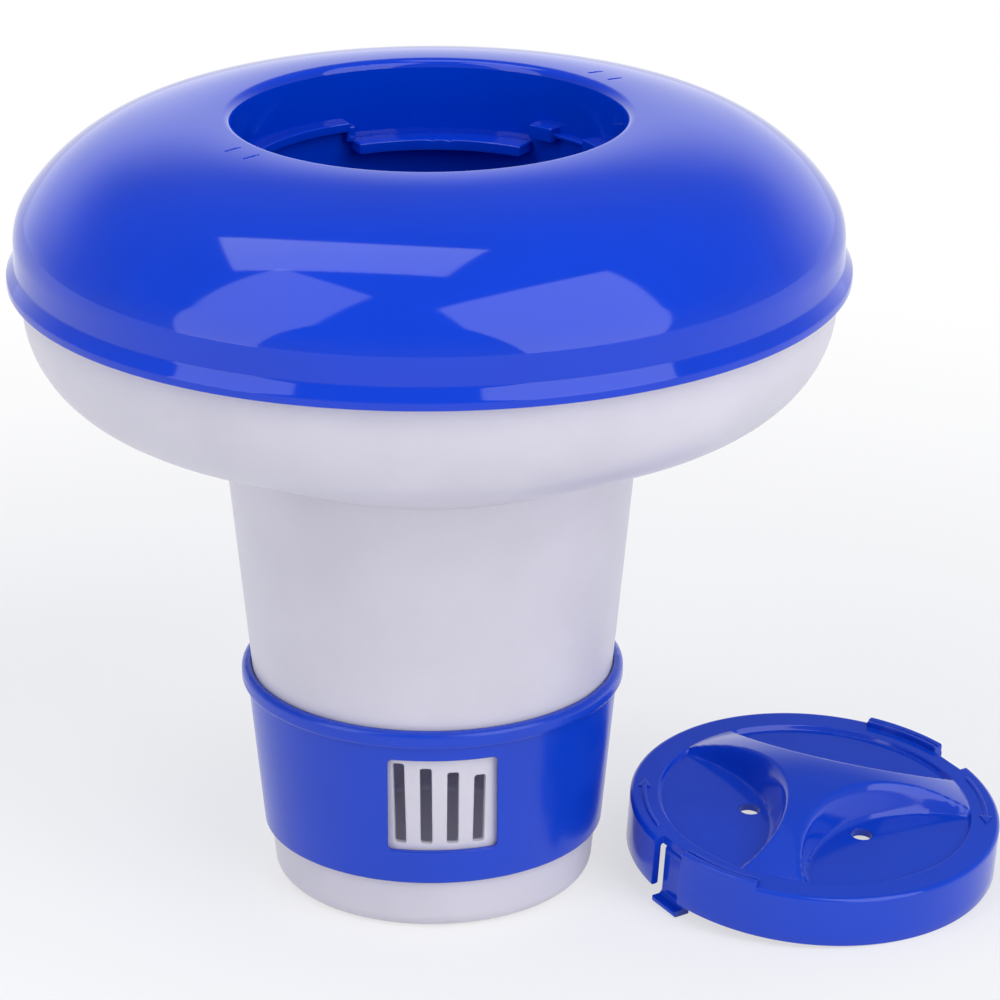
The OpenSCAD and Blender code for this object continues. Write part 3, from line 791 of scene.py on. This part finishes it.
class DISPENSER_OT_latches(bpy.types.Operator):
    """Mould the two spring latch fingers with their feet and knuckles"""

    bl_idname = "dispenser.latches"
    bl_label = "Latch fingers"

    def execute(self, context):
        toe_r = CAP_R - TOE_INSET
        foot_top = FOOT_W - FOOT_H
        finger = soften([(FINGER_BACK_R, KNUCKLE[1]), (FINGER_BACK_R, -FOOT_H), (toe_r - TOE_CUT, -FOOT_H),
                         (toe_r, TOE_CUT - FOOT_H), (toe_r, foot_top), (FINGER_FACE_R + TOE_CUT, foot_top),
                         (FINGER_FACE_R, foot_top + TOE_CUT), (FINGER_FACE_R, KNUCKLE[1])], 0.25)
        knuckle = arc(KNUCKLE[:2], KNUCKLE[2], 0, 345, 23)
        for name, turn in LATCH_TURNS.items():
            spin = Matrix.Rotation(radians(turn), 4, "Z")
            shell = Shell()
            shell.slab(finger, FINGER_W, 0.3, spin)
            shell.slab(knuckle, FINGER_W, 0.3, spin)
            settle(shell.piece(name + "_finger", cap_place()), name, "cap_plastic", name)
        return {"FINISHED"}


def fade(tree, place, start, end):
    """A node that rises smoothly from 0 at start to 1 at end."""
    made = node(tree, "ShaderNodeMapRange", place, interpolation_type="SMOOTHSTEP")
    made.inputs["From Min"].default_value = start
    made.inputs["From Max"].default_value = end
    return made


def aim(thing, target):
    """Turns a light or camera towards a point."""
    thing.rotation_euler = (Vector(target) - thing.location).to_track_quat("-Z", "Y").to_euler()


# Soft panels: name, bearing from the front towards the right, elevation, distance, width, height, share
PANELS = (
    ("panel_left", -57, 33, 1.5, 0.75, 2.1, 0.95),
    ("panel_right", 43, 33, 1.5, 1.25, 2.0, 1.15),
    ("panel_top", -105, 76, 1.4, 0.5, 0.95, 1.3),
)
TARGET = (0.02, 0.0, 0.12)
CAMERA_PLACE = (0.0, -0.994, 0.484)
CAMERA_TURN = (68.8, 0.0, -0.98)
CAMERA_LENS = 154.6

# The room's even light, and the paler wall behind: where its light sets in, towards the back and downwards
HORIZON_TINT = (0.95, 0.96, 1, 1)
ZENITH_TINT = (0.5, 0.54, 0.7, 1)
ZENITH_FROM = 0.6
WALL_BACK = (0.35, 0.9)
WALL_RISE = (0.56, 0.26)

# The floor: distance from the middle where it starts to whiten and where it is white, and its share at first
FLOOR_FADE = (0.16, 0.5)
FLOOR_SHARE = 0.62


def floor_material(colour):
    """A plain floor that keeps shadows near the object and is white further off."""
    material = bpy.data.materials.new("floor")
    material.use_nodes = True
    tree = material.node_tree
    shader = tree.nodes["Principled BSDF"]
    shader.inputs["Base Color"].default_value = (*colour, 1)
    shader.inputs["Roughness"].default_value = 0.9
    shader.inputs["Specular IOR Level"].default_value = 0.0
    white = node(tree, "ShaderNodeEmission", (0, -300), Strength=1.0)
    path = node(tree, "ShaderNodeLightPath", (-900, 400))
    seen = math_node(tree, "MAXIMUM", (-700, 400), path.outputs["Is Camera Ray"],
                     path.outputs["Is Glossy Ray"])
    seen = math_node(tree, "MAXIMUM", (-500, 400), seen, path.outputs["Is Transmission Ray"])
    where = node(tree, "ShaderNodeTexCoord", (-900, 0))
    length = node(tree, "ShaderNodeVectorMath", (-700, 0), operation="LENGTH")
    far = fade(tree, (-500, 0), *FLOOR_FADE)
    far.inputs["To Min"].default_value = FLOOR_SHARE
    mix = node(tree, "ShaderNodeMixShader", (200, 0))
    tree.links.new(where.outputs["Object"], length.inputs[0])
    tree.links.new(length.outputs["Value"], far.inputs["Value"])
    tree.links.new(math_node(tree, "MULTIPLY", (-200, 200), far.outputs[0], seen), mix.inputs[0])
    tree.links.new(shader.outputs[0], mix.inputs[1])
    tree.links.new(white.outputs[0], mix.inputs[2])
    tree.links.new(mix.outputs[0], tree.nodes["Material Output"].inputs["Surface"])
    return material


class DISPENSER_OT_stage(bpy.types.Operator):
    """Set out the floor, the soft panels, the room's light and the camera"""

    bl_idname = "dispenser.stage"
    bl_label = "Stage"

    def execute(self, context):
        scene = context.scene
        settings = scene.dispenser_stage
        scene.view_settings.view_transform = "Standard"

        disc = bmesh.new()
        bmesh.ops.create_circle(disc, cap_ends=True, segments=96, radius=settings.floor_radius)
        mesh = bpy.data.meshes.new("floor")
        disc.to_mesh(mesh)
        disc.free()
        floor = bpy.data.objects.new("floor", mesh)
        mesh.materials.append(floor_material(settings.floor_colour))
        scene.collection.objects.link(floor)

        for name, bearing, rise, distance, width, height, share in PANELS:
            light = bpy.data.lights.new(name, "AREA")
            light.shape = "RECTANGLE"
            light.size = width
            light.size_y = height
            light.energy = settings.panel_light * share * pi * width * height
            lamp = bpy.data.objects.new(name, light)
            out = distance * cos(radians(rise))
            lamp.location = (TARGET[0] + out * sin(radians(bearing)), TARGET[1] - out * cos(radians(bearing)),
                             TARGET[2] + distance * sin(radians(rise)))
            aim(lamp, TARGET)
            lamp.visible_camera = False
            scene.collection.objects.link(lamp)

        world = bpy.data.worlds.new("room")
        world.use_nodes = True
        tree = world.node_tree
        back = tree.nodes["Background"]
        where = node(tree, "ShaderNodeTexCoord", (-900, 0))
        split = node(tree, "ShaderNodeSeparateXYZ", (-700, 0))
        ramp = node(tree, "ShaderNodeValToRGB", (-500, 0))
        ramp.color_ramp.elements[0].color = HORIZON_TINT
        ramp.color_ramp.elements[1].color = ZENITH_TINT
        ramp.color_ramp.elements[1].position = ZENITH_FROM
        behind = fade(tree, (-500, -300), *WALL_BACK)
        low = fade(tree, (-500, -600), *WALL_RISE)
        tree.links.new(where.outputs["Generated"], split.inputs[0])
        tree.links.new(split.outputs["Z"], ramp.inputs[0])
        tree.links.new(split.outputs["Y"], behind.inputs["Value"])
        tree.links.new(split.outputs["Z"], low.inputs["Value"])
        glow = math_node(tree, "MULTIPLY", (-300, -400), behind.outputs[0], low.outputs[0])
        glow = math_node(tree, "MULTIPLY", (-100, -400), glow, settings.wall_light)
        strength = math_node(tree, "ADD", (100, -300), glow, settings.room_light)
        tree.links.new(ramp.outputs[0], back.inputs["Color"])
        tree.links.new(strength, back.inputs["Strength"])
        scene.world = world

        view = bpy.data.cameras.new("view")
        view.lens = CAMERA_LENS
        view.sensor_width = 36
        camera = bpy.data.objects.new("view", view)
        camera.location = CAMERA_PLACE
        camera.rotation_euler = [radians(a) for a in CAMERA_TURN]
        scene.collection.objects.link(camera)
        scene.camera = camera
        return {"FINISHED"}


BUILDERS = (
    DISPENSER_OT_dome,
    DISPENSER_OT_bayonet,
    DISPENSER_OT_shells,
    DISPENSER_OT_ring,
    DISPENSER_OT_seals,
    DISPENSER_OT_cap,
    DISPENSER_OT_latches,
    DISPENSER_OT_stage,
)


class DISPENSER_PT_panel(bpy.types.Panel):
    """Settings and builders of the dispenser"""

    bl_label = "Chlorine dispenser"
    bl_space_type = "VIEW_3D"
    bl_region_type = "UI"
    bl_category = "Dispenser"

    def draw(self, context):
        for group in (context.scene.dispenser_shape, context.scene.dispenser_finish,
                      context.scene.dispenser_stage):
            box = self.layout.box()
            for name in type(group).__annotations__:
                box.prop(group, name)
        for builder in BUILDERS:
            self.layout.operator(builder.bl_idname)


GROUPS = {
    "dispenser_shape": DispenserShape,
    "dispenser_finish": DispenserFinish,
    "dispenser_stage": DispenserStage,
}


def register():
    for name, group in GROUPS.items():
        bpy.utils.register_class(group)
        setattr(bpy.types.Scene, name, PointerProperty(type=group))
    for cls in (*BUILDERS, DISPENSER_PT_panel):
        bpy.utils.register_class(cls)


def unregister():
    for cls in (DISPENSER_PT_panel, *reversed(BUILDERS)):
        bpy.utils.unregister_class(cls)
    for name, group in GROUPS.items():
        delattr(bpy.types.Scene, name)
        bpy.utils.unregister_class(group)


def main():
    """Builds every piece and the stage."""
    register()
    bpy.ops.dispenser.dome()
    bpy.ops.dispenser.bayonet()
    bpy.ops.dispenser.shells()
    bpy.ops.dispenser.ring()
    bpy.ops.dispenser.seals()
    bpy.ops.dispenser.cap()
    bpy.ops.dispenser.latches()
    bpy.ops.dispenser.stage()


if __name__ == "__main__":
    main()
